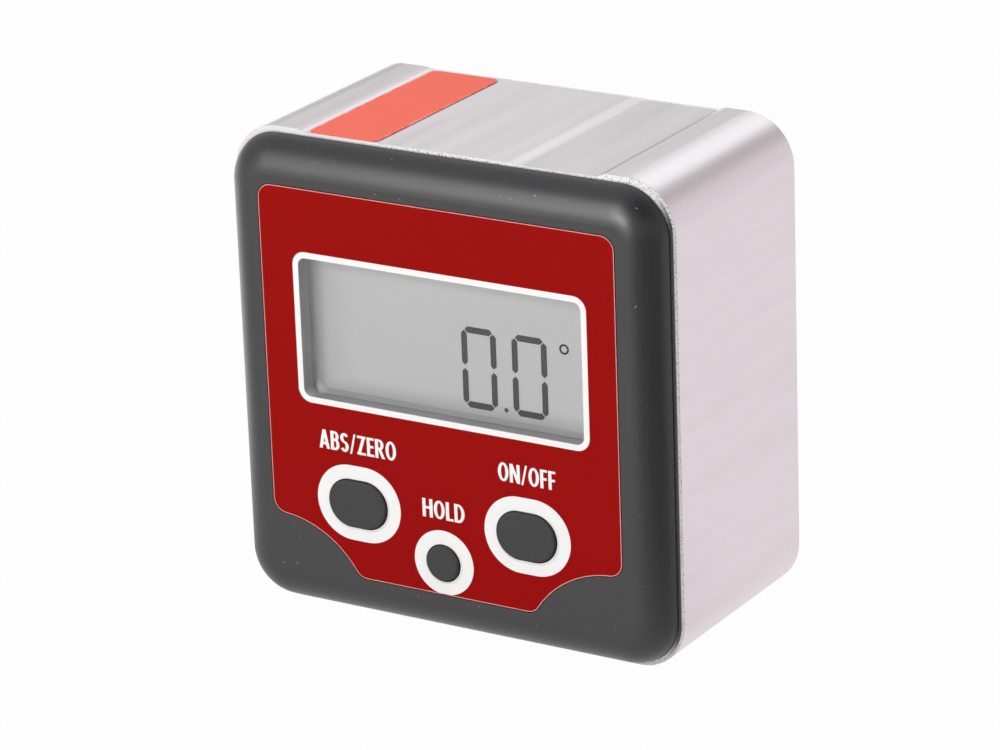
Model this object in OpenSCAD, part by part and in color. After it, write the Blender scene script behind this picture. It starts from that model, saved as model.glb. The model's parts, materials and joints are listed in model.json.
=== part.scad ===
// Digital angle gauge: a square aluminium tube with a magnetic base, closed by a front cover that
// carries a display and three keys, and by a rear cover that carries two cells behind a sliding door.
// X runs to the right, Y to the back and Z up. The origin is at the middle of the base.

/* [Housing] */
// Width of the housing
housing_w = 60; // [54:0.5:72]
// Height of the housing, base to top rails
housing_h = 60; // [54:0.5:72]
// Length of the housing tube, front to back
housing_len = 29.5; // [27:0.1:40]
// Outer corner radius of the housing
corner_r = 6.2; // [5.8:0.1:7]
// Thickness of the side walls and the top
wall = 2.6; // [2.2:0.1:2.8]
// Thickness of the base that holds the magnets
base_t = 4.4; // [4.2:0.1:5]
// Chamfer round the cut ends of the tube
cut_chamfer = 0.45; // [0.2:0.05:0.8]

/* [Top recess] */
// Width of the recess between the top rails
recess_w = 41.8; // [38:0.2:44]
// Depth of the recess at its lower side
recess_depth = 0.45; // [0.3:0.05:0.6]
// Width of each sloped side of the recess
recess_slope = 1.1; // [0.6:0.1:1.6]
// Place of the small step across the recess
recess_step_x = 9; // [4:0.5:14]
// Height of that step
recess_step = 0.13; // [0.05:0.01:0.2]
// Width of the slope on that step
step_slope = 1.7; // [1:0.1:2.5]

/* [Base magnets] */
// Diameter of a magnet
magnet_d = 10; // [6:0.5:12]
// Thickness of a magnet
magnet_t = 3; // [2:0.1:3.2]
// Distance of the outer magnets from the housing's sides
magnet_side = 12; // [11:0.5:16]
// How far the magnets lie above the base face
magnet_inset = 0.15; // [0.05:0.05:0.3]

/* [Front cover] */
// How far the front cover stands out of the housing
front_proj = 3.7; // [3.4:0.1:4.4]
// Radius of the rounded front edge
front_edge_r = 4.3; // [3.8:0.1:4.8]
// How far the front cover steps in from the housing's outline
cover_inset = 0.55; // [0.3:0.05:0.8]
// Corner radius of the front cover
cover_r = 6.1; // [5.6:0.1:7]
// Width of the groove between the front cover's edge and the housing
seam_gap = 0.25; // [0.15:0.05:0.4]
// Depth of that groove
seam_depth = 0.6; // [0.4:0.1:0.8]
// Thickness of the front plate
plate_t = 2.2; // [2:0.1:2.4]
// Depth of the rim that each cover puts into the tube
spigot_depth = 3; // [2:0.1:3.4]
// Thickness of that rim
spigot_t = 1.5; // [1.2:0.1:1.8]
// Gap between a rim and the tube
fit_gap = 0.15; // [0.1:0.05:0.25]
// Radius of the screw posts in the corners
post_r = 2.8; // [2.6:0.1:3]
// Depth behind the front face at which front and rear posts meet
post_split = 14; // [13:0.5:17]

/* [Fascia] */
// Distance of the red fascia from the housing's sides
fascia_side = 5.8; // [5:0.1:8]
// Distance of the red fascia from the housing's base and top
fascia_end = 5.9; // [5:0.1:7]
// Thickness of the fascia sheet
fascia_t = 0.4; // [0.3:0.05:0.5]
// Radius of the fascia's corners
fascia_r = 1.8; // [1:0.1:2.4]
// Gap between the fascia and its recess
fascia_gap = 0.12; // [0.05:0.01:0.2]
// Radius of the two lower corner lobes
lobe_r = 13; // [12:0.5:14]
// Distance of a lobe's centre from the fascia's side
lobe_in = 0.7; // [0:0.1:2]
// Distance of a lobe's centre below the fascia's lower edge
lobe_drop = 6.4; // [6:0.1:7]

/* [Display] */
// Sideways place of the display
display_x = 0.3; // [-0.5:0.1:0.5]
// Distance of the display's centre below the housing's top
display_drop = 23.15; // [21:0.05:24]
// Distance of the window from the fascia's sides
window_side = 4.9; // [4.5:0.1:8]
// Height of the window in the fascia
window_h = 17.4; // [16:0.2:18]
// Corner radius of the window
window_r = 1; // [0.6:0.1:1.6]
// Thickness of the clear pane
pane_t = 1; // [0.8:0.05:1.2]
// How far the pane reaches under the fascia
pane_lap = 1.3; // [1:0.1:1.5]
// Depth of the display glass behind the front face
lcd_depth = 2.8; // [2.7:0.05:3.2]
// Thickness of the display glass
lcd_t = 2; // [1.6:0.1:2.2]
// How far the display glass reaches past the window
lcd_lap = 1.2; // [1:0.1:1.4]
// Wall of the frame round the display glass
frame_wall = 0.8; // [0.6:0.1:1]
// Width of a rubber contact strip
strip_w = 1.8; // [1.4:0.1:2.2]
// Gap round loosely fitted display pieces
slip_gap = 0.1; // [0.05:0.01:0.15]

/* [Keys] */
// Sideways place of the middle key
keys_x = -0.3; // [-0.5:0.1:0.5]
// Distance from the middle key to a side key
key_spread = 11.7; // [11:0.1:12.5]
// Height of the side keys
side_key_z = 15.4; // [15:0.1:16.5]
// Height of the middle key
hold_key_z = 9.95; // [9.8:0.05:10.6]
// Radius of the side keys' round ends
side_key_r = 2.95; // [2.6:0.05:3.4]
// Straight stretch of the side keys
side_key_straight = 2.15; // [1:0.05:3]
// Radius of the middle key
hold_key_r = 2.25; // [2:0.05:2.6]
// How far the keys stand out of the front face
key_proud = 0.4; // [0.35:0.05:0.6]
// Travel of a key
key_travel = 0.3; // [0.2:0.05:0.35]
// Rounding of a key's front edge
key_edge = 0.35; // [0.2:0.05:0.5]
// Gap round a key
key_gap = 0.15; // [0.1:0.05:0.25]
// Width of the flange that holds a key in
flange_w = 0.8; // [0.6:0.1:0.9]
// Thickness of that flange
flange_t = 0.7; // [0.5:0.05:0.9]

/* [Circuit board] */
// Depth of the circuit board behind the front face
pcb_depth = 7; // [6.8:0.1:7.6]
// Thickness of the circuit board
pcb_t = 1.6; // [1:0.1:2]
// Gap between the board and what it passes
pcb_gap = 0.6; // [0.4:0.1:0.8]
// Radius of a board boss
boss_r = 1.7; // [1.6:0.05:1.8]
// Distance of the upper board bosses below the housing's top
boss_upper_drop = 23; // [20:0.5:26]
// Height of the lower board bosses
boss_lower_z = 14.5; // [14:0.25:18]
// Side of a switch body
switch_w = 6; // [5:0.1:6.2]
// Height of a switch body
switch_h = 3.5; // [3:0.1:3.6]
// Diameter of a switch plunger
plunger_d = 3.4; // [2.6:0.1:3.6]

/* [Chips] */
// Side of the controller chip
controller_w = 9; // [7:0.5:10]
// Legs on each side of the controller chip
controller_legs = 10; // [6:1:12]
// Side of the tilt sensor
sensor_w = 5; // [4:0.5:6]
// Legs on each side of the tilt sensor
sensor_legs = 4; // [3:1:6]
// Distance of the tilt sensor's centre from the board's side
sensor_edge = 11.2; // [9:0.1:14]
// Distance of the crystal can's centre from the board's side
crystal_edge = 12.2; // [9:0.1:14]
// Radius of the crystal can's round ends
crystal_r = 1.6; // [1.2:0.1:2]
// Straight stretch of the crystal can
crystal_straight = 5; // [3:0.5:6]
// Height of the crystal can
crystal_t = 2.6; // [2:0.1:3]
// Thickness of the chips
chip_t = 1.4; // [1:0.1:1.8]
// Height of the sensor and the crystal above the middle
chip_rise = 3; // [0:0.5:6]
// Number of capacitors
capacitor_count = 5; // [3:1:6]
// Distance between neighbouring capacitors
capacitor_pitch = 4; // [2:0.5:5]
// Distance of the capacitors below the middle
capacitor_drop = 9; // [7:0.5:11]
// Width of a capacitor
capacitor_w = 1; // [0.8:0.1:1.6]
// Length of a capacitor
capacitor_len = 2; // [1.6:0.1:3.2]
// Thickness of a capacitor
capacitor_t = 0.8; // [0.5:0.1:1.2]

/* [Rear cover] */
// How far the rear cover stands out of the housing
rear_proj = 2.6; // [2.5:0.1:3]
// Radius of the rounded rear edge
rear_edge_r = 2.3; // [2:0.1:2.4]
// How far the rear cover steps in from the housing's outline
rear_inset = 1; // [0.8:0.05:1.4]
// Thickness of the rear plate inside the tube
rear_plate_in = 1; // [0.8:0.1:1.4]
// Wall of the battery tray
tray_t = 1.2; // [1:0.1:1.4]
// Gap between the battery tray and the side walls of the tube
tray_end_gap = 1.85; // [1.7:0.05:3]
// Diameter of the head of a case screw
case_head_d = 4.2; // [3.8:0.1:4.4]
// Thickness of the head of a case screw
case_head_t = 1.6; // [1.2:0.1:1.8]
// Diameter of the shank of a case screw
case_shank_d = 2; // [1.8:0.1:2.2]
// Length of a case screw's shank
case_shank_len = 22; // [20:0.5:23]
// Depth of a case screw's head below the rear face
case_head_depth = 1.2; // [0.8:0.1:1.6]
// Gap round a screw in its hole
screw_gap = 0.1; // [0.05:0.01:0.15]

/* [Battery door] */
// Width of the sliding door between its tongues
door_w = 24; // [23.5:0.1:26]
// Distance of the door's inner end from the middle
door_reach = 24; // [23.5:0.1:24.5]
// Reach of the door's tongues
tongue_w = 1.1; // [0.8:0.1:1.4]
// Thickness of the door's tongues
tongue_t = 0.9; // [0.7:0.05:1]
// Thickness of the ledge that the door slides on
ledge_t = 0.5; // [0.4:0.05:0.6]
// Gap round the sliding door
door_gap = 0.12; // [0.08:0.02:0.16]
// Number of grip grooves
grip_count = 6; // [4:1:8]
// Distance between grip grooves
grip_pitch = 1.6; // [1.4:0.1:1.8]

/* [Cells] */
// Diameter of a cell
cell_d = 10.4; // [9.8:0.1:10.5]
// Diameter of the nub
nub_d = 3.8; // [3:0.1:5]
// Length of the nub
nub_len = 1; // [0.8:0.1:1.4]
// Rounding of a cell's ends
cell_edge = 0.5; // [0.3:0.1:0.8]
// Gap round a cell in the tray
cell_gap = 0.2; // [0.15:0.05:0.3]
// Length of a pressed contact spring
spring_len = 3.4; // [3:0.1:3.6]
// Diameter of the spring wire
spring_wire_d = 0.6; // [0.4:0.05:0.7]
// Thickness of the contact sheet
contact_t = 0.4; // [0.3:0.05:0.5]
// Diameter of a battery lead
lead_d = 1.2; // [0.8:0.1:1.4]

/* [Top label] */
// Width of the sticker on top
label_w = 9.7; // [8:0.1:12]
// Distance of the sticker from the foot of the recess side
label_side = 0.2; // [0:0.1:1]
// Thickness of the sticker
label_t = 0.1; // [0.05:0.05:0.2]
// Distance of the sticker from the front cut
label_front = 0.5; // [0.4:0.1:2]
// Distance of the sticker from the rear cut
label_rear = 0.9; // [0.5:0.1:3]
// Corner radius of the sticker
label_r = 1; // [0.5:0.1:2]

/* [Hidden] */
$fn = 64;

// Overlap of a cutting shape past the face that it opens
cut = 1;

// Planes along Y
depth_total = key_proud + front_proj + housing_len + rear_proj;
y_front = key_proud - depth_total / 2;
house_front = front_proj;
house_back = front_proj + housing_len;
rear_face = house_back + rear_proj;
mid_z = housing_h / 2;

// Inside of the tube
cavity_w = housing_w - 2 * wall;
cavity_h = housing_h - wall - base_t;
cavity_z = base_t + cavity_h / 2;
cavity_r = corner_r - wall;
rim_w = cavity_w - 2 * fit_gap;
rim_h = cavity_h - 2 * fit_gap;
rim_r = cavity_r - fit_gap;
rim_in_w = rim_w - 2 * spigot_t;
rim_in_h = rim_h - 2 * spigot_t;
rim_in_r = rim_r - spigot_t;
cover_w = housing_w - 2 * cover_inset;
cover_h = housing_h - 2 * cover_inset;
cover_edge_h = front_proj - seam_gap;
rear_w = housing_w - 2 * rear_inset;
rear_h = housing_h - 2 * rear_inset;
rear_r = corner_r - rear_inset;
recess_floor_z = housing_h - recess_depth + recess_step;

// Corner posts, at the centres of the tube's inner corners
post_x = cavity_w / 2 - cavity_r;
post_top_z = base_t + cavity_h - cavity_r;
post_low_z = base_t + cavity_r;
post_spots = [for (x = [-post_x, post_x], z = [post_low_z, post_top_z]) [x, z]];

// Fascia and display
fascia_half_w = housing_w / 2 - fascia_side;
fascia_low_z = fascia_end;
fascia_top_z = housing_h - fascia_end;
bend_steps = 8;
lobe_steps = 14;
display_z = housing_h - display_drop;
window_w = 2 * (fascia_half_w - window_side);

// Display stack, as depths behind the front face
pane_back = fascia_t + pane_t;
lcd_back = lcd_depth + lcd_t;
pcb_back = pcb_depth + pcb_t;
pane_w = window_w + 2 * pane_lap;
pane_h = window_h + 2 * pane_lap;
collar_lip = 0.2;
collar_wall = 0.6;
collar_in_w = window_w + 2 * collar_lip;
collar_in_h = window_h + 2 * collar_lip;
collar_w = collar_in_w + 2 * collar_wall;
collar_h = collar_in_h + 2 * collar_wall;
lcd_w = window_w + 2 * lcd_lap;
lcd_h = window_h + 2 * lcd_lap;
frame_w = lcd_w + 2 * slip_gap + 2 * frame_wall;
frame_h = lcd_h + 2 * slip_gap + 2 * frame_wall;
strip_end = 2;
strip_edge = 0.6;

// Keys: sideways place, height, end radius and straight stretch of each
ABS_ZERO = [keys_x - key_spread, side_key_z, side_key_r, side_key_straight];
HOLD = [keys_x, hold_key_z, hold_key_r, 0];
ON_OFF = [keys_x + key_spread, side_key_z, side_key_r, side_key_straight];
KEYS = [ABS_ZERO, HOLD, ON_OFF];
flange_rest = 0.06;
key_back = plate_t + flange_rest + flange_t;
plunger_gap = 0.1;
plunger_hold_depth = 1.1;
switch_front = pcb_depth - switch_h;
plunger_back = switch_front + plunger_hold_depth;
switch_bore_depth = plunger_hold_depth + key_travel + plunger_gap;

// Circuit board
pcb_side = 2.2;
pcb_foot = 2;
boss_edge = 1.6;
pcb_half = cavity_w / 2 - pcb_side;
pcb_low_z = base_t + pcb_foot;
pcb_top_z = post_top_z - post_r - pcb_gap;
notch_x = post_x - post_r - pcb_gap;
notch_z = post_low_z + post_r + pcb_gap;
boss_x = pcb_half - boss_edge;
sensor_x = pcb_half - sensor_edge;
crystal_x = pcb_half - crystal_edge;
boss_upper_z = housing_h - boss_upper_drop;
boss_spots = [for (x = [-boss_x, boss_x], z = [boss_lower_z, boss_upper_z]) [x, z]];
pcb_shank_d = 1.6;
pcb_head_d = 3.2;
pcb_head_t = 1.2;
pcb_shank_len = 5;
leg_out = 0.9;
leg_t = 0.25;
leg_row = 0.8;

// Battery bay, as wide as the tube lets it be, with two cells one above the other that fill it
cell_r = cell_d / 2;
bay_half = cavity_w / 2 - tray_end_gap - tray_t;
cell_len = 2 * (bay_half - contact_t) - spring_len;
cell_drop = 0.4;
bay_h = 2 * cell_d + 3 * cell_gap;
cell_z = (cell_d + cell_gap) / 2;
door_back = house_back + ledge_t;
cell_top = door_back - cell_drop;
cell_depth = cell_top - cell_r;
bay_front = cell_depth - cell_r - cell_gap;
tray_front = bay_front - tray_t;
cradle_h = 2.6;
cradle_half = 2.6;
contact_h = 8;
contact_deep = 8.4;
contact_front = cell_depth - contact_deep / 2;
tab_w = 2;
tab_out = 2;
tab_end = tray_front - tab_out;
spring_turns = 3.5;
spring_plate_r = 3.4;
spring_cell_r = 2.6;
spring_sides = 8;
spring_steps = 42;
lead_sides = 8;
lead_steps = 12;
lead_shift = -5;

// Door
door_front = door_back + door_gap;
door_end_gap = 0.3;
tongue_end = 0.9;
grip_depth = 0.35;
grip_w = 0.8;
grip_len = 14;
grip_x = 12;

// Case screws
head_seat = rear_face - case_head_depth - case_head_t;
drive_w = 0.5;
drive_span = 0.6;

// Colours
ALUMINIUM = [0.83, 0.82, 0.83];
GREY_PLASTIC = [0.30, 0.30, 0.31];
RED_SHEET = [0.61, 0.07, 0.06];
CLEAR = [0.86, 0.90, 0.91, 0.35];
PALE_GREY = [0.78, 0.79, 0.78];
LCD_GREY = [0.75, 0.75, 0.75];
KEY_GREY = [0.29, 0.29, 0.30];
BOARD_GREEN = [0.05, 0.30, 0.16];
BLACK = [0.08, 0.08, 0.09];
STEEL = [0.66, 0.67, 0.68];
CHIP = [0.12, 0.12, 0.13];
CERAMIC = [0.72, 0.58, 0.42];
NICKEL = [0.74, 0.73, 0.70];
CELL_SLEEVE = [0.16, 0.36, 0.55];
CORAL = [1.00, 0.42, 0.38];
LEAD_RED = [0.75, 0.08, 0.07];

// Flat shapes

module rounded_rect(w, h, r) {
    square([w - 2 * r, h], center = true);
    square([w, h - 2 * r], center = true);
    for (x = [-1, 1], y = [-1, 1])
        translate([x * (w / 2 - r), y * (h / 2 - r)])
            circle(r);
}

module pill(r, straight) {
    if (straight > 0)
        square([straight, 2 * r], center = true);
    for (x = straight > 0 ? [-1, 1] : [0])
        translate([x * straight / 2, 0])
            circle(r);
}

// Points on an arc about c, from angle a0 to a1
function arc(c, r, a0, a1, n) =
    [for (i = [0:n])
        let (a = a0 + (a1 - a0) * i / n)
        c + r * [cos(a), sin(a)]];

function mirrored(points) = [for (i = [len(points) - 1:-1:0]) [-points[i][0], points[i][1]]];

// Right half of the fascia's outline, bottom to top, made larger all round by grow.
// Two small roundings lead into the lobe that cuts off the lower corner.
function fascia_half(grow) =
    let (half = fascia_half_w + grow,
        low = fascia_low_z - grow,
        top = fascia_top_z + grow,
        r = fascia_r + grow,
        lobe = [fascia_half_w - lobe_in, fascia_low_z - lobe_drop],
        reach = lobe_r + fascia_r,
        foot = [lobe[0] - sqrt(reach * reach - pow(low + r - lobe[1], 2)), low + r],
        side = [half - r, lobe[1] + sqrt(reach * reach - pow(half - r - lobe[0], 2))],
        foot_angle = atan2(foot[1] - lobe[1], foot[0] - lobe[0]),
        side_angle = atan2(side[1] - lobe[1], side[0] - lobe[0]))
    concat(
        arc(foot, r, -90, foot_angle - 180, bend_steps),
        arc(lobe, lobe_r - grow, foot_angle, side_angle, lobe_steps),
        arc(side, r, side_angle - 180, 0, bend_steps),
        arc([half - r, top - r], r, 0, 90, bend_steps));

module fascia_outline(grow) {
    right = fascia_half(grow);
    polygon(concat(right, mirrored(right)));
}

// Placing

// Frame with its z towards the viewer, at a depth behind the front face
module facing(depth)
    translate([0, y_front + depth, 0])
        rotate([90, 0, 0])
            children();

// Slab of a flat shape between two depths
module slab(from, to)
    facing(to)
        linear_extrude(to - from)
            children();

module at_display()
    translate([display_x, display_z])
        children();

module at_key(key)
    translate([key[0], key[1]])
        children();

module at_each(spots)
    for (spot = spots)
        translate(spot)
            children();

// Rounded slabs

// Section of a slab from its corner's axis out to r, with a round edge at the top
module edge_section(r, height, edge_r) {
    run = edge_r > height ? sqrt(edge_r * edge_r - pow(edge_r - height, 2)) : edge_r;
    square([r - run, height]);
    intersection() {
        square([r, height]);
        translate([r - run, height - edge_r])
            circle(edge_r);
    }
    if (height > edge_r)
        square([r, height - edge_r]);
}

// Slab with round corners whose edge has the section of its children, drawn from the corner's axis
module edged_slab(w, h, r, height) {
    half = [w / 2 - r, h / 2 - r];
    linear_extrude(height)
        square(2 * half, center = true);
    for (k = [0:3]) {
        along = half[k % 2];
        across = half[(k + 1) % 2];
        rotate([0, 0, 90 * k]) {
            translate([0, across, 0])
                rotate([90, 0, 90])
                    linear_extrude(2 * along, center = true)
                        children();
            translate([along, across, 0])
                rotate_extrude(angle = 90)
                    children();
        }
    }
}

// Pill whose edge has the section of its children
module edged_pill(straight) {
    if (straight > 0) {
        for (k = [0, 180]) rotate([0, 0, k]) {
            translate([-straight / 2, 0, 0])
                rotate([90, 0, 90])
                    linear_extrude(straight)
                        children();
            translate([straight / 2, 0, 0])
                rotate([0, 0, -90])
                    rotate_extrude(angle = 180)
                        children();
        }
    } else {
        rotate_extrude()
            children();
    }
}

// Housing

// Section of the tube along its length, with a chamfer at both cut ends
module cut_section()
    polygon([[0, 0], [corner_r - cut_chamfer, 0], [corner_r, cut_chamfer],
        [corner_r, housing_len - cut_chamfer], [corner_r - cut_chamfer, housing_len], [0, housing_len]]);

module housing_blank()
    facing(house_back)
        translate([0, mid_z, 0])
            edged_slab(housing_w, housing_h, corner_r, housing_len)
                cut_section();

module recess_section() {
    half = recess_w / 2;
    deep = housing_h - recess_depth;
    polygon([[-half, housing_h], [recess_slope - half, recess_floor_z],
        [recess_step_x - step_slope / 2, recess_floor_z], [recess_step_x + step_slope / 2, deep],
        [half - recess_slope, deep], [half, housing_h], [half, housing_h + cut], [-half, housing_h + cut]]);
}

magnet_y = y_front + house_front + housing_len / 2;
magnet_pitch = housing_w / 2 - magnet_side;

module magnet_pocket(x)
    translate([x, magnet_y, -cut])
        cylinder(d = magnet_d + 2 * slip_gap, h = cut + magnet_inset + magnet_t);

module housing() color(ALUMINIUM)
    difference() {
        housing_blank();
        slab(house_front - cut, house_back + cut)
            translate([0, cavity_z])
                rounded_rect(cavity_w, cavity_h, cavity_r);
        slab(house_front - cut, house_back + cut)
            recess_section();
        for (k = [-1:1])
            magnet_pocket(k * magnet_pitch);
    }

module magnet(k) color(NICKEL)
    translate([k * magnet_pitch, magnet_y, magnet_inset])
        cylinder(d = magnet_d, h = magnet_t);

module top_label() color(CORAL) {
    len = housing_len - label_front - label_rear;
    x = recess_slope - recess_w / 2 + label_side + label_w / 2;
    translate([x, y_front + house_front + label_front + len / 2, recess_floor_z])
        linear_extrude(label_t)
            rounded_rect(label_w, len, label_r);
}

// Covers

// Rim that goes into the tube, with the hollow inside it
module rim(from, to)
    slab(from, to)
        translate([0, cavity_z])
            rounded_rect(rim_w, rim_h, rim_r);

module rim_hollow(from, to)
    slab(from, to)
        translate([0, cavity_z])
            rounded_rect(rim_in_w, rim_in_h, rim_in_r);

module front_shell()
    difference() {
        union() {
            facing(cover_edge_h)
                translate([0, mid_z, 0])
                    edged_slab(cover_w, cover_h, cover_r, cover_edge_h)
                        edge_section(cover_r, cover_edge_h, front_edge_r);
            slab(plate_t, house_front)
                translate([0, mid_z])
                    rounded_rect(cover_w - 2 * seam_depth, cover_h - 2 * seam_depth, cover_r - seam_depth);
            rim(plate_t, house_front + spigot_depth);
        }
        rim_hollow(plate_t, house_front + spigot_depth + cut);
    }

module front_cover() color(GREY_PLASTIC)
    difference() {
        union() {
            front_shell();
            slab(plate_t / 2, post_split)
                at_each(post_spots)
                    circle(post_r);
            slab(plate_t / 2, pcb_depth)
                at_each(boss_spots)
                    circle(boss_r);
        }
        slab(-cut, fascia_t)
            fascia_outline(fascia_gap);
        slab(fascia_t - cut, pane_back)
            at_display()
                rounded_rect(pane_w + 2 * slip_gap, pane_h + 2 * slip_gap, window_r + pane_lap);
        slab(0, plate_t + cut)
            at_display()
                rounded_rect(collar_w + 2 * slip_gap, collar_h + 2 * slip_gap, window_r + collar_wall);
        for (key = KEYS)
            slab(0, plate_t + cut)
                at_key(key)
                    pill(key[2] + key_gap, key[3]);
        slab(head_seat - case_shank_len - cut, post_split + cut)
            at_each(post_spots)
                circle(d = case_shank_d + screw_gap);
        slab(pcb_back - pcb_shank_len - screw_gap, pcb_depth + cut)
            at_each(boss_spots)
                circle(d = pcb_shank_d + screw_gap);
    }

module fascia_overlay() color(RED_SHEET)
    slab(0, fascia_t)
        difference() {
            fascia_outline(0);
            at_display()
                rounded_rect(window_w, window_h, window_r);
            for (key = KEYS)
                at_key(key)
                    pill(key[2] + key_gap, key[3]);
        }

module display_window() color(CLEAR)
    slab(fascia_t, pane_back)
        at_display()
            rounded_rect(pane_w, pane_h, window_r + pane_lap);

module lcd_frame() color(PALE_GREY)
    difference() {
        union() {
            slab(pane_back, lcd_depth)
                at_display()
                    rounded_rect(collar_w, collar_h, window_r + collar_wall);
            slab(plate_t, pcb_depth)
                at_display()
                    square([frame_w, frame_h], center = true);
        }
        slab(pane_back - cut, lcd_depth + cut)
            at_display()
                rounded_rect(collar_in_w, collar_in_h, window_r);
        slab(lcd_depth, pcb_depth + cut)
            at_display()
                square([lcd_w + 2 * slip_gap, lcd_h + 2 * slip_gap], center = true);
    }

module lcd_panel() color(LCD_GREY)
    slab(lcd_depth, lcd_back)
        at_display()
            square([lcd_w, lcd_h], center = true);

module contact_strip(side) color(BLACK)
    slab(lcd_back, pcb_depth)
        at_display()
            translate([0, side * (lcd_h / 2 - strip_edge - strip_w / 2)])
                square([lcd_w - 2 * strip_end, strip_w], center = true);

// Keys and switches

module key(spot) color(KEY_GREY) {
    facing(key_back)
        translate([spot[0], spot[1], 0])
            edged_pill(spot[3])
                edge_section(spot[2], key_proud + key_back, key_edge);
    slab(plate_t + flange_rest, key_back)
        at_key(spot)
            pill(spot[2] + flange_w, spot[3]);
}

module plunger(spot) color(BLACK)
    slab(key_back, plunger_back)
        at_key(spot)
            circle(d = plunger_d);

module switch(spot) color(BLACK)
    difference() {
        slab(switch_front, pcb_depth)
            at_key(spot)
                square(switch_w, center = true);
        slab(switch_front - cut, switch_front + switch_bore_depth)
            at_key(spot)
                circle(d = plunger_d + 2 * plunger_gap);
    }

// Circuit board

module main_pcb() color(BOARD_GREEN)
    slab(pcb_depth, pcb_back)
        difference() {
            translate([-pcb_half, pcb_low_z])
                square([2 * pcb_half, pcb_top_z - pcb_low_z]);
            for (x = [notch_x, -notch_x - housing_w])
                translate([x, 0])
                    square([housing_w, notch_z]);
            at_each(boss_spots)
                circle(d = pcb_shank_d + 2 * screw_gap);
        }

// Screw that points at the viewer: head behind the seat, cross recess in the head
module screw(seat, head_d, head_t, shank_d, shank_len) {
    difference() {
        slab(seat, seat + head_t)
            circle(d = head_d);
        for (a = [0, 90])
            slab(seat + head_t / 2, seat + head_t + cut)
                rotate(a)
                    square([head_d * drive_span, drive_w], center = true);
    }
    slab(seat - shank_len, seat + head_t / 4)
        circle(d = shank_d);
}

module pcb_screws() color(STEEL)
    for (spot = boss_spots)
        translate([spot[0], 0, spot[1]])
            screw(pcb_back, pcb_head_d, pcb_head_t, pcb_shank_d, pcb_shank_len);

// Square chip on the back of the board, with a row of legs on each side
module chip(x, z, w, legs) {
    pitch = w * leg_row / legs;
    slab(pcb_back, pcb_back + chip_t)
        translate([x, z])
            square(w, center = true);
    slab(pcb_back, pcb_back + leg_t)
        translate([x, z])
            for (a = [0:90:270], k = [0:legs - 1])
                rotate(a)
                    translate([w / 2 - leg_t, (k - (legs - 1) / 2) * pitch - leg_t / 2])
                        square([leg_t + leg_out, leg_t]);
}

module controller_chip() color(CHIP)
    chip(0, mid_z, controller_w, controller_legs);

module tilt_sensor() color(CHIP)
    chip(sensor_x, mid_z + chip_rise, sensor_w, sensor_legs);

module crystal_can() color(STEEL)
    slab(pcb_back, pcb_back + crystal_t)
        translate([-crystal_x, mid_z + chip_rise])
            pill(crystal_r, crystal_straight);

module chip_capacitors() color(CERAMIC)
    for (k = [0:capacitor_count - 1])
        slab(pcb_back, pcb_back + capacitor_t)
            translate([(k - (capacitor_count - 1) / 2) * capacitor_pitch, mid_z - capacitor_drop])
                square([capacitor_w, capacitor_len], center = true);

// Rear cover and door

module rear_envelope()
    facing(house_back)
        translate([0, mid_z, 0])
            rotate([180, 0, 0])
                edged_slab(rear_w, rear_h, rear_r, rear_proj)
                    edge_section(rear_r, rear_proj, rear_edge_r);

// Strip across the rear face from the door's inner end out past the right side
module door_strip(from, to, half, reach)
    slab(from, to)
        translate([-reach, mid_z - half])
            square([housing_w, 2 * half]);

module bay_block(from, to, grow)
    slab(from, to)
        translate([0, mid_z])
            square([2 * (bay_half + grow), bay_h + 2 * grow], center = true);

module cell_bores()
    for (side = [-1, 1])
        translate([-bay_half, y_front + cell_depth, mid_z + side * cell_z])
            rotate([0, 90, 0])
                cylinder(r = cell_r + cell_gap / 2, h = 2 * bay_half);

// Low ridge between the cells
module cradle()
    difference() {
        slab(bay_front - tray_t / 2, bay_front + cradle_h)
            translate([0, mid_z])
                square([2 * (bay_half - contact_t - spring_len), 2 * cradle_half], center = true);
        cell_bores();
    }

module tab_slots()
    for (side = [-1, 1])
        slab(tray_front - cut, bay_front + cut)
            translate([bay_half - contact_t - slip_gap, mid_z + side * cell_z - tab_w / 2 - slip_gap])
                square([contact_t + 2 * slip_gap, tab_w + 2 * slip_gap]);

module rear_cover() color(GREY_PLASTIC)
    difference() {
        union() {
            rear_envelope();
            difference() {
                union() {
                    difference() {
                        rim(house_back - spigot_depth, house_back + ledge_t / 2);
                        rim_hollow(house_back - spigot_depth - cut, house_back - rear_plate_in);
                    }
                    slab(post_split, house_back - rear_plate_in / 2)
                        at_each(post_spots)
                            circle(post_r);
                    bay_block(tray_front, house_back + ledge_t / 2, tray_t);
                }
                bay_block(bay_front, house_back + cut, 0);
            }
            cradle();
        }
        bay_block(house_back - cut, rear_face, 0);
        door_strip(door_back, rear_face + cut, door_w / 2 + door_gap, door_reach + door_end_gap);
        door_strip(door_back, door_front + tongue_t + door_gap, door_w / 2 + tongue_w + door_gap,
            door_reach + door_end_gap);
        door_strip(door_back, door_front + tongue_t + door_gap, door_w / 4 + door_gap,
            door_reach + door_end_gap + tongue_end);
        tab_slots();
        slab(post_split - cut, rear_face)
            at_each(post_spots)
                circle(d = case_shank_d + 2 * screw_gap);
        slab(head_seat, rear_face + cut)
            at_each(post_spots)
                circle(d = case_head_d + 2 * screw_gap);
    }

module battery_door() color(GREY_PLASTIC)
    difference() {
        intersection() {
            union() {
                door_strip(door_front, rear_face, door_w / 2, door_reach);
                door_strip(door_front, door_front + tongue_t, door_w / 2 + tongue_w, door_reach);
                door_strip(door_front, door_front + tongue_t, door_w / 4, door_reach + tongue_end);
            }
            rear_envelope();
        }
        for (k = [0:grip_count - 1])
            slab(rear_face - grip_depth, rear_face + cut)
                translate([grip_x + k * grip_pitch, mid_z])
                    pill_slot();
    }

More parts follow.
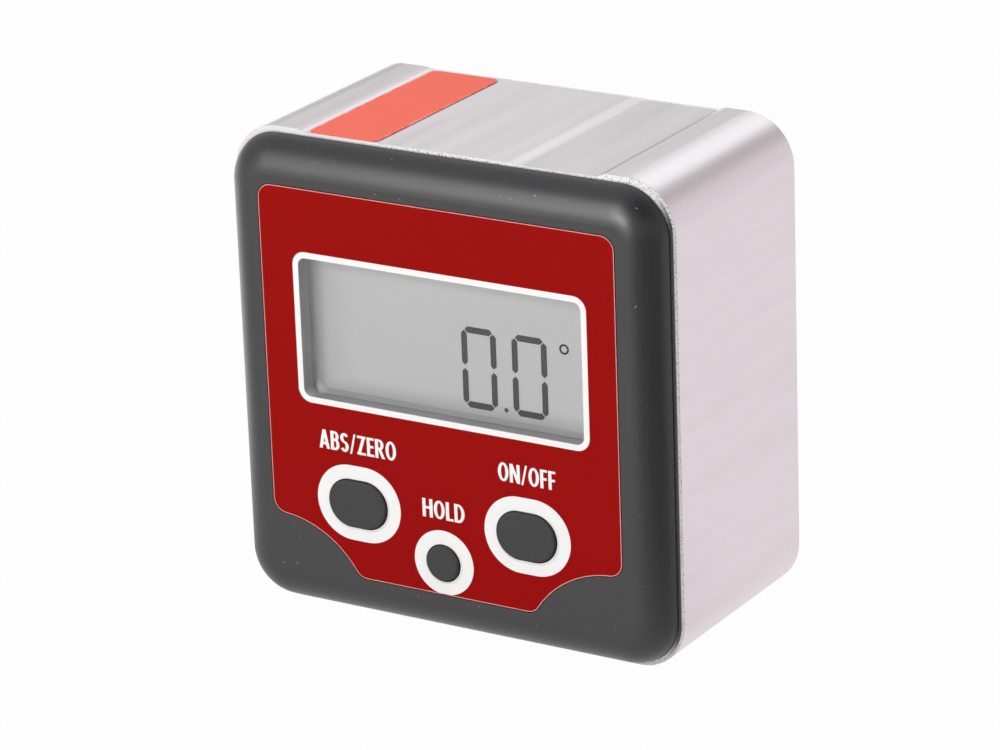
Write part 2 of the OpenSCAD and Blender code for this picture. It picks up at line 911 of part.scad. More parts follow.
module pill_slot()
    rotate(90)
        pill(grip_w / 2, grip_len);

module case_screws() color(STEEL)
    for (spot = post_spots)
        translate([spot[0], 0, spot[1]])
            screw(head_seat, case_head_d, case_head_t, case_shank_d, case_shank_len);

// Cells and contacts

// Revolved cell along X: side is 1 where the nub points right and -1 where it points left
module cell(side) color(CELL_SLEEVE)
    translate([side * (bay_half - contact_t), y_front + cell_depth, mid_z + side * cell_z])
        rotate([0, -90 * side, 0])
            rotate_extrude()
                polygon([[0, 0], [nub_d / 2, 0], [nub_d / 2, nub_len], [cell_r - cell_edge, nub_len],
                    [cell_r, nub_len + cell_edge], [cell_r, cell_len - cell_edge],
                    [cell_r - cell_edge, cell_len], [0, cell_len]]);

module contact_sheet(x, z, h)
    slab(contact_front, contact_front + contact_deep)
        translate([x, z - h / 2])
            square([contact_t, h]);

module contact_jumper() color(NICKEL)
    contact_sheet(-bay_half, mid_z, 2 * cell_z + contact_h);

// Sheet behind one cell's right end, with a solder tab through the tray's floor
module contact_end(side) color(NICKEL) {
    contact_sheet(bay_half - contact_t, mid_z + side * cell_z, contact_h);
    slab(tab_end, contact_front + tab_w)
        translate([bay_half - contact_t, mid_z + side * cell_z - tab_w / 2])
            square([contact_t, tab_w]);
}

// Tube through rings of points, with flat ends
module tube(rings, sides) {
    count = len(rings);
    last = (count - 1) * sides;
    walls = [for (i = [0:count - 2], j = [0:sides - 1])
        let (a = i * sides + j, b = i * sides + (j + 1) % sides)
        each [[a, a + sides, b + sides], [a, b + sides, b]]];
    first_cap = [[for (j = [0:sides - 1]) j]];
    last_cap = [[for (j = [sides - 1:-1:0]) last + j]];
    polyhedron([for (ring = rings) each ring], concat(first_cap, walls, last_cap));
}

// Coil that narrows from the contact sheet to the cell, along +X from the sheet
function coil_rings() = [for (i = [0:spring_steps])
    let (t = i / spring_steps,
        turn = 360 * spring_turns * t,
        r = spring_plate_r + (spring_cell_r - spring_plate_r) * t,
        wire_r = spring_wire_d / 2,
        x = wire_r + (spring_len - spring_wire_d) * t)
    [for (j = [0:spring_sides - 1])
        let (a = 360 * j / spring_sides, reach = r + wire_r * cos(a))
        [x + wire_r * sin(a), reach * cos(turn), reach * sin(turn)]]];

// Spring at the flat end of a cell: side is that cell's side
module spring(side) color(STEEL)
    translate([side * (contact_t - bay_half), y_front + cell_depth, mid_z + side * cell_z])
        rotate([0, side > 0 ? 0 : 180, 0])
            tube(coil_rings(), spring_sides);

// Wire from a solder tab to the board, shifted sideways on a smooth curve
module lead(side)
    tube([for (i = [0:lead_steps])
        let (t = i / lead_steps,
            ease = t * t * (3 - 2 * t),
            x = bay_half - contact_t / 2 + lead_shift * ease,
            y = y_front + tab_end + (pcb_back - tab_end) * t,
            z = mid_z + side * cell_z)
        [for (j = [0:lead_sides - 1])
            let (a = 360 * j / lead_sides)
            [x + lead_d / 2 * cos(a), y, z + lead_d / 2 * sin(a)]]], lead_sides);

module lead_positive() color(LEAD_RED)
    lead(1);

module lead_negative() color(BLACK)
    lead(-1);

housing();
front_cover();
fascia_overlay();
display_window();
lcd_frame();
lcd_panel();
contact_strip(1);  // contact_strip_upper
contact_strip(-1);  // contact_strip_lower
main_pcb();
pcb_screws();
key(ABS_ZERO);  // key_abs_zero
key(HOLD);  // key_hold
key(ON_OFF);  // key_on_off
plunger(ABS_ZERO);  // plunger_abs_zero
plunger(HOLD);  // plunger_hold
plunger(ON_OFF);  // plunger_on_off
switch(ABS_ZERO);  // switch_abs_zero
switch(HOLD);  // switch_hold
switch(ON_OFF);  // switch_on_off
controller_chip();
tilt_sensor();
crystal_can();
chip_capacitors();
rear_cover();
case_screws();
battery_door();
cell(1);  // cell_upper
cell(-1);  // cell_lower
contact_jumper();
contact_end(1);  // contact_positive
contact_end(-1);  // contact_negative
spring(1);  // spring_upper
spring(-1);  // spring_lower
lead_positive();
lead_negative();
magnet(-1);  // magnet_left
magnet(0);  // magnet_middle
magnet(1);  // magnet_right
top_label();
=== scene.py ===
"""Looks of the digital angle gauge: finishes of its pieces, its printed fascia and display,
and the floor, light and camera."""
import json
import math

import bpy
from mathutils import Matrix, Vector


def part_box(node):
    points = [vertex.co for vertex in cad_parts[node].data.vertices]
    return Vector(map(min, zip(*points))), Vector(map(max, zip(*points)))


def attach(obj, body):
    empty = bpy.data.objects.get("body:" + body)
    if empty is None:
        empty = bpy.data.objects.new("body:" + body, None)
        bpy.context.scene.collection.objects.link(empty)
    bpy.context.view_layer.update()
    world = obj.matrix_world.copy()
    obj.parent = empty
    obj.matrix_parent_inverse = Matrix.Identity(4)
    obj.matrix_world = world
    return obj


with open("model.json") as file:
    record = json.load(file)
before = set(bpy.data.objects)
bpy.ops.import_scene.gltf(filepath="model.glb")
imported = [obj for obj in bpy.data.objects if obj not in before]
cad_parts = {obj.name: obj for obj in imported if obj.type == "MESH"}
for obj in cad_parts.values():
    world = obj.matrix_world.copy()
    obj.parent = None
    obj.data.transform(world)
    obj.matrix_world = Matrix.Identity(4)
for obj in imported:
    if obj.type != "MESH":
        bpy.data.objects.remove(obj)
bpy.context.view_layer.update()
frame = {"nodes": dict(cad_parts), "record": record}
nodes = frame["nodes"]

MM = 0.001

# Faces of the object, in metres, read from the frame
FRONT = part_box("fascia_overlay")[0].y
PANE_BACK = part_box("display_window")[1].y
LCD_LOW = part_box("lcd_panel")[0]
LCD_FRONT = LCD_LOW.y
TUBE_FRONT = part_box("housing")[0].y
TUBE_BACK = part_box("housing")[1].y
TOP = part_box("housing")[1].z
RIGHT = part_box("housing")[1].x

# Fits of the part: laps of pane and display past the window, the collar's lip, a key's flange and gap
PANE_LAP = 1.3 * MM
LCD_LAP = 1.2 * MM
COLLAR_LIP = 0.2 * MM
KEY_FLANGE = 0.8 * MM
KEY_GAP = 0.15 * MM

# Left and lower edge of the window, and ends of the painted shade on its sill and of its unshaded left
# corner, each with its fade
WINDOW_LEFT = LCD_LOW.x + LCD_LAP
WINDOW_FOOT = LCD_LOW.z + LCD_LAP
SILL_SHADE_END = (WINDOW_FOOT + 0.8 * MM, 0.3 * MM)
UNSHADED_CORNER_END = (WINDOW_LEFT + 1.2 * MM, 0.6 * MM)

# Tube: screen colour of its sides, and on top the step where the recess's painted paler tone fades, and its
# right edge with a painted dark line, each with its fade
ALUMINIUM = (228, 216, 221)
TOP_STEP = 9 * MM
STEP_FADE = 1.5 * MM
RECESS_EDGE = 20.2 * MM
EDGE_FADE = 1.1 * MM

# Places where the tube's look changes, each with how far it fades on either side
# Where the top's painted tone and painted shade take over from the sides'
TOP_START = (TOP - 1.5 * MM, 0.5 * MM)
# Painted shade down the recess's left slope, from its start past its turn to its end, where the recess's
# painted paler tone begins
SLOPE_START = (-20.9 * MM, 0.02 * MM)
SLOPE_TURN = (-20.375 * MM, 0.125 * MM)
SLOPE_END = (-19.7 * MM, 0.1 * MM)
FRONT_CUT_END = (TUBE_FRONT + 0.45 * MM, 0.03 * MM)
BACK_CUT_START = (TUBE_BACK - 0.45 * MM, 0.03 * MM)
# Where the sawn ends' specks and their painted glint white begin
SPECKS_AND_GLINT_START = (-9 * MM, 5 * MM)
# Painted shadow in the joint between front cover and the tube's right side: where it begins across and how
# far back it reaches
SEAM_SHADE_START = (RIGHT - 1.55 * MM, 0.95 * MM)
SEAM_SHADE_BACK = (TUBE_FRONT + 0.2 * MM, 0.04 * MM)

# Print on the fascia and the trim of its window
PRINT_T = 0.012 * MM
KEY_RING_W = 1.85 * MM
KEY_RING_SHIFT = Vector((0.1, 0, 0.08)) * MM
# Painted shadow of each key on its ring: its thickness, width and shift
KEY_SHADE_T = 1.5 * PRINT_T
KEY_SHADE_W = 0.16 * MM
KEY_SHADE_SHIFT = Vector((0.13, 0, -0.1)) * MM
LINER_T = 0.03 * MM
WINDOW_BORDER = 0.74 * MM
WINDOW_R = 1.0 * MM
BEVEL_W = 0.3 * MM
BEVEL_RISE = 0.6 * MM
SHEET_EDGE_W = 0.11 * MM

# Corners of a node's mesh lie on the front face within this distance, and are the same to this many decimals
FRONT_SLACK = 0.01 * MM
SAME_DECIMALS = 7

# Legends: words, and in millimetres their centre across, centre up, width and cap height
LEGENDS = {
    "legend_abs_zero": ("ABS/ZERO", -11.75, 23.05, 10.85, 2.4),
    "legend_hold": ("HOLD", 0.0, 16.7, 5.85, 2.35),
    "legend_on_off": ("ON/OFF", 11.67, 23.1, 7.8, 2.35),
}

# Letters, in shares of their height, and the share of the print's thickness that each stroke adds
LETTER_WIDTHS = {"A": 0.6, "B": 0.5, "S": 0.47, "/": 0.36, "Z": 0.5, "E": 0.41, "R": 0.53, "O": 0.6,
                 "H": 0.56, "L": 0.4, "D": 0.56, "N": 0.58, "F": 0.4}
LETTER_SPACE = 0.065
UPRIGHT_W = 0.176
LEVEL_W = 0.128
SLASH_W = 0.11
STROKE_RISE = 0.15

# Display digits, in millimetres on the display's face
DIGIT_W = 4.75
DIGIT_H = 10.1
DIGIT_STROKE = 0.8
DIGIT_GAP = 0.18
DIGIT_WAIST = 0.2
DIGIT_LEFTS = (1.64, 8.5)
DIGIT_LOW = 29.2
POINT_AT = (7.5, 29.65)
POINT_R = 0.36
POINT_CORNERS = 4
DEGREE_AT = (15.6, 38.45)
DEGREE_R = 0.65
DEGREE_STROKE = 0.25
DEGREE_CORNERS = 36

# Floor: half its width in metres, its grey, and the share of its glow to the camera and in reflections
FLOOR_REACH = 3.0
FLOOR_GREY = 0.55
FLOOR_SEEN = 0.98
FLOOR_MIRRORED = 0.93

# Floor in reflections: its dim and bright levels, and where each begins along X and Y, with its fade
FLOOR_DIM = 0.3
FLOOR_DIM_X = (50 * MM, 20 * MM)
FLOOR_DIM_Y = (0, 20 * MM)
FLOOR_BRIGHT = 1.9
FLOOR_BRIGHT_X = (-75 * MM, 25 * MM)
FLOOR_BRIGHT_Y = (-25 * MM, 25 * MM)

# Wall behind, by direction of view: heights and levels of its two sides, and where its parts blend
WALL_LEFT = (0.2, 0.6, 0.53, 1.4)
WALL_RIGHT = (0.2, 0.45, 0.88, 0.58)
WALL_SIDES = (0.02, 0.3)
WALL_DEPTH = (0.3, 0.7)

# Rest of the room: levels as light, in reflections and in their dark corner, and its start and fade
ROOM_LIGHT = 0.12
ROOM_MIRRORED = 0.65
ROOM_DARK = 0.03
DARK_X = (0.075, 0.125)
DARK_Y = (0.2, 0.2)
DARK_Z = (0.5, 0.1)

# Lamps, aimed at one point: place, width and height in metres, power in watts and kind of light
LAMP_TARGET = (0, 0, 0.03)
LAMPS = {
    "front_softbox": ((-0.24, -0.72, 0.34), (0.44, 0.5), 3.3, "diffuse"),
    "front_gleam": ((-0.24, -0.72, 0.36), (0.44, 0.72), 4.9, "glossy"),
    "front_spot": ((-0.06, -0.76, 0.26), (0.08, 0.18), 1.7, "glossy"),
    "front_fill": ((-0.06, -0.76, 0.26), (0.08, 0.18), 1.7, "diffuse"),
    "overhead_fill": ((0, 0.1, 0.8), (0.6, 0.6), 2.7, "diffuse"),
}

# Nodes that a lamp leaves out, because its reflection would wash out their tops when seen from behind
KEPT_OFF = {
    "front_gleam": ("housing", "top_label"),
    "front_spot": ("housing",),
}

# Camera: angles about the object in degrees, place in millimetres, focal length in picture widths
CAM_TARGET = (0, FRONT / MM, 30)
CAM_YAW = 31.84
CAM_PITCH = 19.97
CAM_ROLL = -2.07
CAM_OFFSET = (-7.12, -3.53, 544.35)
CAM_FOCAL = 4.6505
CAM_CLIP = 10 * MM
SENSOR_W = 36

# Plain finishes: screen colour, roughness, colour spread, and in millimetres cloud size, bump size and depth
PLAIN_FINISHES = {
    "strip_rubber": ((36, 36, 38), 0.7, 0.1, 1.5, 0.2, 0.03),
    "screw_steel": ((190, 190, 192), 0.3, 0.06, 0.8, 0.15, 0.02),
    "key_rubber": ((69, 69, 70), 0.7, 0.03, 2.0, 0.12, 0.015),
    "switch_plastic": ((30, 30, 32), 0.5, 0.1, 1.5, 0.2, 0.02),
    "chip_plastic": ((34, 34, 36), 0.5, 0.1, 1.5, 0.15, 0.02),
    "can_steel": ((200, 200, 202), 0.25, 0.05, 1.5, 0.3, 0.02),
    "capacitor_ceramic": ((168, 126, 84), 0.55, 0.1, 0.6, 0.2, 0.02),
    "contact_nickel": ((205, 200, 190), 0.28, 0.06, 1.0, 0.2, 0.02),
    "lead_red": ((180, 24, 22), 0.45, 0.06, 1.5, 0.4, 0.02),
    "lead_black": ((28, 28, 30), 0.45, 0.08, 1.5, 0.4, 0.02),
    "magnet_nickel": ((206, 203, 197), 0.22, 0.05, 2.0, 0.3, 0.01),
    "white_ink": ((248, 247, 246), 0.45, 0.015, 3.0, 0.3, 0.004),
    # Painted shadow of the keys on their white rings
    "key_shadow_paint": ((228, 228, 227), 0.5, 0.02, 1.5, 0.3, 0.004),
    "dark_segment": ((63, 64, 64), 0.5, 0.04, 1.0, 0.3, 0.002),
    "black_segment": ((24, 25, 25), 0.5, 0.04, 1.0, 0.3, 0.002),
    "sheet_edge": ((222, 150, 146), 0.4, 0.12, 1.2, 0.3, 0.004),
}

# Other shader values of some plain finishes
METAL = {"metallic": 1.0}
PLAIN_SOCKETS = {
    "screw_steel": METAL,
    "can_steel": METAL,
    "contact_nickel": METAL,
    "magnet_nickel": METAL,
    "key_rubber": {"specular_ior_level": 0.12},
}


def srgb(r, g, b):
    """Linear colour of an 8-bit screen colour."""
    def linear(v):
        v = v / 255
        return v / 12.92 if v <= 0.04045 else ((v + 0.055) / 1.055) ** 2.4
    return (linear(r), linear(g), linear(b), 1)


def shade(color, factor):
    return tuple(min(1.0, c * factor) for c in color[:3]) + (1,)


class Nodes:
    """Short calls for building a node tree."""

    def __init__(self, tree):
        self.tree = tree

    def add(self, kind, **inputs):
        node = self.tree.nodes.new(kind)
        for name, value in inputs.items():
            self.feed(node.inputs[name.replace("_", " ")], value)
        return node

    def feed(self, socket, value):
        """Links a socket to another socket, or sets it to a value."""
        if isinstance(value, bpy.types.NodeSocket):
            self.tree.links.new(value, socket)
        else:
            socket.default_value = value

    def split(self, vector, name):
        return self.add("ShaderNodeSeparateXYZ", Vector=vector).outputs[name]

    def range(self, value, low, high, to_low=0.0, to_high=1.0, smooth=False):
        """Value mapped from low and high to to_low and to_high, and held beyond them."""
        node = self.add("ShaderNodeMapRange", Value=value)
        node.interpolation_type = "SMOOTHSTEP" if smooth else "LINEAR"
        for name, number in (("From Min", low), ("From Max", high), ("To Min", to_low), ("To Max", to_high)):
            self.feed(node.inputs[name], number)
        return node.outputs["Result"]

    def past(self, value, place, blur):
        """0 before a place and 1 past it, soft by blur on either side."""
        return self.range(value, place - blur, place + blur)

    def before(self, value, place, blur):
        """1 before a place and 0 past it, soft by blur on either side."""
        return self.range(value, place - blur, place + blur, 1, 0)

    def between(self, factor, a, b):
        """Level a where factor is 0 and b where it is 1."""
        return self.range(factor, 0, 1, a, b)

    def math(self, kind, a, b=0.0):
        node = self.tree.nodes.new("ShaderNodeMath")
        node.operation = kind
        self.feed(node.inputs[0], a)
        self.feed(node.inputs[1], b)
        return node.outputs["Value"]

    def times(self, a, b):
        return self.math("MULTIPLY", a, b)

    def larger(self, a, b):
        return self.math("MAXIMUM", a, b)

    def dim(self, color, factor):
        node = self.tree.nodes.new("ShaderNodeVectorMath")
        node.operation = "SCALE"
        self.feed(node.inputs[0], color)
        self.feed(node.inputs["Scale"], factor)
        return node.outputs["Vector"]

    def mix(self, factor, a, b):
        """Colour a where factor is 0 and b where it is 1."""
        node = self.tree.nodes.new("ShaderNodeMix")
        node.data_type = "RGBA"
        self.feed(node.inputs["Factor"], factor)
        colours = [s for s in node.inputs if s.type == "RGBA"]
        self.feed(colours[0], a)
        self.feed(colours[1], b)
        return next(s for s in node.outputs if s.type == "RGBA")


class Finish(Nodes):
    """One material around a single shader."""

    # Most of a noise lies between these levels
    NOISE_LOW = 0.3
    NOISE_HIGH = 0.7

    def __init__(self, name, color, roughness, **sockets):
        self.material = bpy.data.materials.new(name)
        self.material.use_nodes = True
        super().__init__(self.material.node_tree)
        self.shader = self.tree.nodes["Principled BSDF"]
        self.set("Base Color", color)
        self.set("Roughness", roughness)
        for socket, value in sockets.items():
            self.set(socket.replace("_", " ").title().replace("Ior", "IOR"), value)
        self.place = self.add("ShaderNodeTexCoord").outputs["Object"]

    def set(self, socket, value):
        self.shader.inputs[socket].default_value = value

    def drive(self, socket, value):
        self.tree.links.new(value, self.shader.inputs[socket])

    def axis(self, name):
        return self.split(self.place, name)

    def noise(self, grain, detail=3.0, stretch=(1, 1, 1)):
        """Noise whose grains are grain millimetres across, drawn out by stretch."""
        scale = [1 / (grain * MM * s) for s in stretch]
        moved = self.add("ShaderNodeMapping", Vector=self.place, Scale=scale).outputs["Vector"]
        return self.add("ShaderNodeTexNoise", Vector=moved, Scale=1.0, Detail=detail).outputs["Fac"]

    def swing(self, noise, low, high):
        """Noise spread out to run from low to high."""
        return self.range(noise, self.NOISE_LOW, self.NOISE_HIGH, low, high)

    def cloudy(self, noise, color, spread):
        """Colour that a noise makes darker and lighter by spread."""
        return self.mix(noise, shade(color, 1 - spread), shade(color, 1 + spread))

    def bump(self, height, strength, depth):
        """Bump of depth millimetres."""
        node = self.add("ShaderNodeBump", Height=height, Strength=strength, Distance=depth * MM)
        self.drive("Normal", node.outputs["Normal"])


def plain_finish(name):
    """Finish with cloudy colour and roughness and a fine grain."""
    screen, roughness, spread, cloud_size, bump_size, bump_depth = PLAIN_FINISHES[name]
    color = srgb(*screen)
    finish = Finish(name, color, roughness, **PLAIN_SOCKETS.get(name, {}))
    cloud = finish.noise(cloud_size)
    finish.drive("Base Color", finish.cloudy(cloud, color, spread))
    finish.drive("Roughness", finish.swing(cloud, 0.9 * roughness, 1.1 * roughness))
    finish.bump(finish.noise(bump_size), strength=0.6, depth=bump_depth)
    return finish.material


def drawn_skin_with_painted_light(finish, lines, broad):
    """Colour of the drawn tube, streaked along Y, with painted light and shade: on top the rails and the
    recess get tones of their own, the recess paler and less so past its step, and painted shade lies down
    its left slope and along its right edge.
    """
    # Painted light and shade: sides, rails and recess get different tones for how light falls on them
    side, rail, recess = srgb(*ALUMINIUM), srgb(224, 219, 222), srgb(234, 229, 231)
    edge_shade, slope_head_shade, slope_foot_shade = 0.08, 0.27, 0.08
    share_past_step = 0.3
    x = finish.axis("X")
    on_top = finish.past(finish.axis("Z"), *TOP_START)
    past_slope = finish.past(x, *SLOPE_END)
    before_step = finish.range(x, TOP_STEP, TOP_STEP + STEP_FADE, 1, share_past_step)
    in_recess = finish.times(past_slope, before_step)
    tone = finish.mix(on_top, side, finish.mix(in_recess, rail, recess))
    # Painted shade: a soft dark line along the recess's right edge and shade down its left slope
    from_edge = finish.math("ABSOLUTE", finish.math("SUBTRACT", x, RECESS_EDGE))
    at_edge = finish.range(from_edge, 0, EDGE_FADE, edge_shade, 0, smooth=True)
    down_slope = finish.between(finish.past(x, *SLOPE_TURN), slope_head_shade, slope_foot_shade)
    on_slope = finish.times(finish.past(x, *SLOPE_START), finish.between(past_slope, down_slope, 0))
    shadow = finish.times(on_top, finish.math("ADD", at_edge, on_slope))
    streak = finish.times(finish.swing(broad, 0.965, 1.03), finish.swing(lines, 1, 0.972))
    return finish.dim(tone, finish.times(streak, finish.between(shadow, 1, 0)))


def sawn_skin_with_painted_light(finish, grit):
    """Colour of the saw cuts: plain at the left, then a bright white that is a painted glint, with dark
    specks, and a painted shadow in the joint at the right.
    """
    # The bright white is a painted glint of light on the rough cut, over its plain matte tone
    plain, bright, speck_grey = srgb(234, 229, 230), srgb(250, 247, 247), srgb(128, 122, 122)
    seam_shade_grey, seam_shade_speck = srgb(88, 84, 84), srgb(48, 46, 46)
    speck_level, speck_blur = 0.61, 0.03
    x = finish.axis("X")
    specks_and_glint = finish.past(x, *SPECKS_AND_GLINT_START)
    speck = finish.times(finish.past(grit, speck_level, speck_blur), specks_and_glint)
    # Specks over the cut's tone, which is painted glint white towards the right
    torn = finish.mix(speck, finish.mix(specks_and_glint, plain, bright), speck_grey)
    # Painted shadow in the joint on the tube's right side
    seam_shadow = finish.times(finish.before(finish.axis("Y"), *SEAM_SHADE_BACK), finish.past(x, *SEAM_SHADE_START))
    return finish.mix(seam_shadow, torn, finish.mix(speck, seam_shade_grey, seam_shade_speck))


def brushed_aluminium():
    """Drawn tube with faint lines along Y and torn saw cuts at both ends, with painted light and shade on
    its skin and cuts.
    """
    cut_metallic, cut_roughness, line_height = 0.1, 0.6, 0.05
    finish = Finish("brushed_aluminium", srgb(*ALUMINIUM), 0.3, metallic=1.0)
    lines = finish.noise(0.3, detail=2.0, stretch=(1, 60, 1))
    broad = finish.noise(2.6, detail=2.0, stretch=(1, 14, 1))
    grit = finish.noise(0.13, detail=1.0)
    y = finish.axis("Y")
    cut = finish.larger(finish.before(y, *FRONT_CUT_END), finish.past(y, *BACK_CUT_START))
    finish.drive("Base Color", finish.mix(cut, drawn_skin_with_painted_light(finish, lines, broad), sawn_skin_with_painted_light(finish, grit)))
    finish.drive("Metallic", finish.between(cut, 1.0, cut_metallic))
    drawn_roughness = finish.swing(broad, 0.27, 0.33)
    finish.drive("Roughness", finish.larger(drawn_roughness, finish.times(cut, cut_roughness)))
    height = finish.math("ADD", finish.times(lines, line_height), finish.times(grit, cut))
    finish.bump(height, strength=0.4, depth=0.08)
    return finish.material


def moulded_plastic():
    """Grey moulded covers: fine spark-eroded texture, rare specks of dust, and painted shade where they
    reach into the tube.
    """
    grey, dust_grey, inner_shade_grey = srgb(42, 42, 44), srgb(140, 139, 138), srgb(18, 18, 19)
    dust_level, dust_blur = 0.87, 0.015
    joint_shade_fade = 0.6 * MM
    inner_shade_share = 0.75
    finish = Finish("moulded_plastic", grey, 0.36, specular_ior_level=0.58)
    texture = finish.noise(0.14, detail=2.0)
    dust = finish.past(finish.noise(0.32, detail=0.0), dust_level, dust_blur)
    dusty = finish.mix(dust, finish.cloudy(finish.noise(9.0), grey, 0.05), dust_grey)
    y = finish.axis("Y")
    # Painted shade: darker where the covers pass into the tube, fading in from its ends
    front_joint_shade = finish.range(y, TUBE_FRONT - joint_shade_fade, TUBE_FRONT, smooth=True)
    back_joint_shade = finish.range(y, TUBE_BACK, TUBE_BACK + joint_shade_fade, 1, 0, smooth=True)
    inside = finish.times(finish.times(front_joint_shade, back_joint_shade), inner_shade_share)
    finish.drive("Base Color", finish.mix(inside, dusty, inner_shade_grey))
    finish.drive("Roughness", finish.swing(texture, 0.34, 0.4))
    finish.bump(texture, strength=0.3, depth=0.015)
    return finish.material


def printed_red():
    """Red printed sheet with a faint orange-peel skin."""
    red = srgb(155, 14, 11)
    finish = Finish("printed_red", red, 0.45, specular_ior_level=0.04)
    finish.drive("Base Color", finish.cloudy(finish.noise(7.0, detail=2.0), red, 0.04))
    finish.drive("Roughness", finish.swing(finish.noise(0.5), 0.37, 0.43))
    finish.bump(finish.noise(0.35), strength=0.3, depth=0.008)
    return finish.material


def clear_pane():
    """Clear pane: thin reflection over what lies behind, with faint wipe marks."""
    finish = Finish("clear_pane", (0, 0, 0, 1), 0.06, alpha=0.03)
    wipes = finish.noise(3.0, detail=2.0, stretch=(6, 1, 1))
    finish.drive("Roughness", finish.swing(wipes, 0.04, 0.1))
    return finish.material


def wall_plastic(name, pale, low):
    """Walls round the display, greyer on their lower sill with painted shade, but not in its left corner."""
    finish = Finish(name, pale, 0.6)
    above_sill_shade = finish.past(finish.axis("Z"), *SILL_SHADE_END)
    in_unshaded_corner = finish.before(finish.axis("X"), *UNSHADED_CORNER_END)
    cloud = finish.noise(4.0)
    plain = finish.mix(cloud, shade(pale, 0.97), pale)
    # The low grey is painted shade on the sill, left out in the left corner
    finish.drive("Base Color", finish.mix(finish.larger(above_sill_shade, in_unshaded_corner), low, plain))
    finish.drive("Roughness", finish.swing(cloud, 0.55, 0.65))
    finish.bump(finish.noise(0.2), strength=0.6, depth=0.02)
    return finish.material


def display_glass():
    """Grey reflective display with a fine grain, shaded along its left edge and its foot."""
    foot_grey, head_grey = srgb(202, 202, 202), srgb(200, 200, 200)
    grain_grey, shadow_grey = srgb(188, 188, 188), srgb(100, 100, 101)
    left_shade, foot_shade, grain_share = 0.2, 0.34, 0.25
    left_w, foot_h = 6 * MM, 2.2 * MM
    finish = Finish("display_glass", srgb(210, 210, 210), 0.42, specular_ior_level=0.2)
    low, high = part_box("lcd_panel")
    x, z = finish.axis("X"), finish.axis("Z")
    grain = finish.noise(0.12, detail=1.0)
    tone = finish.mix(finish.range(z, low.z, high.z), foot_grey, head_grey)
    glass = finish.mix(finish.swing(grain, 0, grain_share), tone, grain_grey)
    left = finish.range(x, WINDOW_LEFT, WINDOW_LEFT + left_w, left_shade, 0)
    foot = finish.range(z, WINDOW_FOOT, WINDOW_FOOT + foot_h, foot_shade, 0)
    finish.drive("Base Color", finish.mix(finish.larger(left, foot), glass, shadow_grey))
    finish.bump(grain, strength=0.15, depth=0.005)
    return finish.material


def coral_sticker():
    """Coral sticker, slightly worn along its long edges."""
    coral, worn_coral = srgb(255, 123, 106), srgb(255, 178, 168)
    edge_w = 0.5 * MM
    finish = Finish("coral_sticker", coral, 0.85, specular_ior_level=0.06)
    low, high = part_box("top_label")
    x = finish.axis("X")
    left = finish.range(x, low.x, low.x + edge_w, 1, 0)
    right = finish.range(x, high.x - edge_w, high.x)
    worn = finish.times(finish.larger(left, right), finish.range(finish.noise(1.2), 0.4, 0.65))
    cloud = finish.noise(3.5)
    plain = finish.mix(cloud, shade(coral, 0.93), shade(coral, 1.05))
    finish.drive("Base Color", finish.mix(worn, plain, worn_coral))
    finish.drive("Roughness", finish.swing(cloud, 0.82, 0.9))
    finish.bump(finish.noise(1.6), strength=0.3, depth=0.02)
    return finish.material


def cell_sleeve():
    """Printed cell sleeve: blue body with a pale band at each end, lightly scuffed."""
    blue, band_grey, scuff_grey = srgb(52, 104, 160), srgb(214, 216, 218), srgb(170, 176, 182)
    band_right, band_left, band_blur = 15.15 * MM, -17.15 * MM, 0.15 * MM
    scuff_share = 0.35
    finish = Finish("cell_sleeve", blue, 0.3, coat_weight=0.3)
    x = finish.axis("X")
    band = finish.larger(finish.past(x, band_right, band_blur), finish.before(x, band_left, band_blur))
    sleeve = finish.mix(band, blue, band_grey)
    scuff = finish.range(finish.noise(0.8, detail=4.0), 0.6, 0.75, 0, scuff_share)
    finish.drive("Base Color", finish.mix(scuff, sleeve, scuff_grey))
    finish.drive("Roughness", finish.swing(finish.noise(2.0), 0.25, 0.38))
    finish.bump(finish.noise(0.4), strength=0.2, depth=0.01)
    return finish.material


def solder_mask():
    """Green board with faint copper runs under the mask."""
    green, run_green = srgb(16, 92, 52), srgb(34, 122, 70)
    finish = Finish("solder_mask", green, 0.32, coat_weight=0.2)
    wave = finish.add("ShaderNodeTexWave", Vector=finish.place, Scale=260.0, Distortion=6.0)
    runs = finish.range(wave.outputs["Fac"], 0.55, 0.7)
    finish.drive("Base Color", finish.mix(runs, green, run_green))
    finish.drive("Roughness", finish.swing(finish.noise(1.0), 0.28, 0.38))
    finish.bump(runs, strength=0.4, depth=0.03)
    return finish.material


FINISHES = {name: plain_finish(name) for name in PLAIN_FINISHES}
FINISHES.update({
    "housing_aluminium": brushed_aluminium(),
    "cover_plastic": moulded_plastic(),
    "fascia_sheet": printed_red(),
    "clear_pane": clear_pane(),
    # Wall finishes: pale grey, then the painted shade of the sill; the lining's greys are the frame's,
    # painted darker as shade
    "frame_plastic": wall_plastic("frame_plastic", srgb(210, 209, 209), srgb(156, 156, 157)),
    "lining": wall_plastic("lining", srgb(193, 192, 193), srgb(158, 158, 159)),
    "lcd_glass": display_glass(),
    "board": solder_mask(),
    "cell_sleeve": cell_sleeve(),
    "sticker": coral_sticker(),
})


def dress_nodes():
    """Gives each CAD node the finish of its material slot."""
    for part in frame["record"]["subparts"]:
        mesh = nodes[part["node"]].data
        mesh.materials.clear()
        mesh.materials.append(FINISHES[part["material_slot"]])


def new_piece(name, points, faces, finish):
    """Piece of the case, made from points in metres."""
    mesh = bpy.data.meshes.new(name)
    mesh.from_pydata(points, [], faces)
    mesh.materials.append(FINISHES[finish])
    piece = bpy.data.objects.new(name, mesh)
    bpy.context.scene.collection.objects.link(piece)
    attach(piece, "case")


